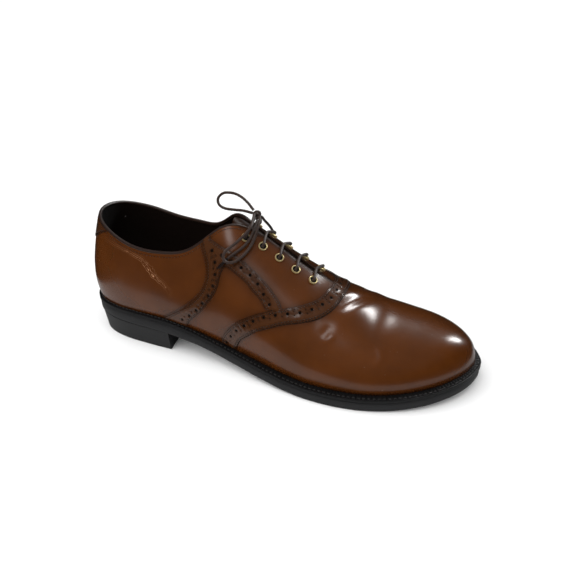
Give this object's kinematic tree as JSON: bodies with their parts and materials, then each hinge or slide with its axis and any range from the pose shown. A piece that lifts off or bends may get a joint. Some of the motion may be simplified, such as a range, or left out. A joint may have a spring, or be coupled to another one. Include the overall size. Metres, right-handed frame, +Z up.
{
  "type": "brogue shoe",
  "caption": "Low lace-up leather dress shoe with perforated leather bands, brass eyelets, a round tied lace and a welted rubber sole with a separate heel.",
  "frame": {"origin": "on the floor plane, under the middle of the heel block's length and width", "axes": "+Z up, +X from heel to toe, +Y towards the inner (medial) side, so -Y is the outer (lateral) side"},
  "size_m": [0.3016, 0.109, 0.1172],
  "materials": {
    "upper_leather": "polished smooth leather, brown",
    "band_leather": "polished smooth leather, brown, perforated",
    "lining_leather": "matt lining leather, dark brown",
    "sole_rubber": "satin black rubber",
    "eyelet_brass": "polished",
    "lace_cotton": "waxed cotton cord, dark brown"
  },
  "bodies": {
    "root": {"outsole": "sole_rubber", "heel": "sole_rubber", "welt": "sole_rubber", "insole": "lining_leather", "upper": "upper_leather", "tongue": "upper_leather", "throat_band": "band_leather", "side_band_lateral": "band_leather", "side_band_medial": "band_leather", "heel_tab": "band_leather", "eyelet_lateral_1": "eyelet_brass", "eyelet_lateral_2": "eyelet_brass", "eyelet_lateral_3": "eyelet_brass", "eyelet_lateral_4": "eyelet_brass", "eyelet_lateral_5": "eyelet_brass", "eyelet_medial_1": "eyelet_brass", "eyelet_medial_2": "eyelet_brass", "eyelet_medial_3": "eyelet_brass", "eyelet_medial_4": "eyelet_brass", "eyelet_medial_5": "eyelet_brass", "lace_bar_2": "lace_cotton", "lace_bar_3": "lace_cotton", "lace_bar_4": "lace_cotton", "lace_bar_5": "lace_cotton", "lace_strand_lateral": "lace_cotton", "lace_strand_medial": "lace_cotton", "lace_knot": "lace_cotton", "lace_loop_rear": "lace_cotton", "lace_loop_lateral": "lace_cotton", "lace_end_lateral": "lace_cotton", "lace_end_medial": "lace_cotton"}
  },
  "joints": []
}
